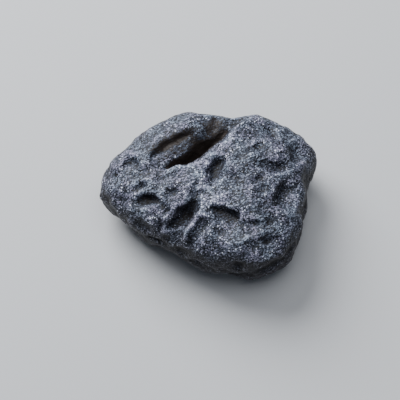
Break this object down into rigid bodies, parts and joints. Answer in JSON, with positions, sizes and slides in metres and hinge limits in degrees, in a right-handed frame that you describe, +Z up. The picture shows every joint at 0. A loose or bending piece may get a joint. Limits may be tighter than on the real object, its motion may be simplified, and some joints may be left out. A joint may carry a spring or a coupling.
{
  "type": "tektite",
  "caption": "Tektite: a rounded, flattened lump of black natural glass with an etched, pitted skin, lying loose on its flatter side.",
  "frame": {"origin": "middle of the stone's outline from above, on the surface that it lies on", "axes": "+X along its length, towards the squarer end; +Z up, towards the broad pitted face"},
  "size_m": [0.0458, 0.0365, 0.017],
  "materials": {
    "etched_black_glass": "frosted, etched natural glass: charcoal with a pale grain, glossier in the pits"
  },
  "bodies": {
    "root": {"tektite": "etched_black_glass"}
  },
  "joints": []
}
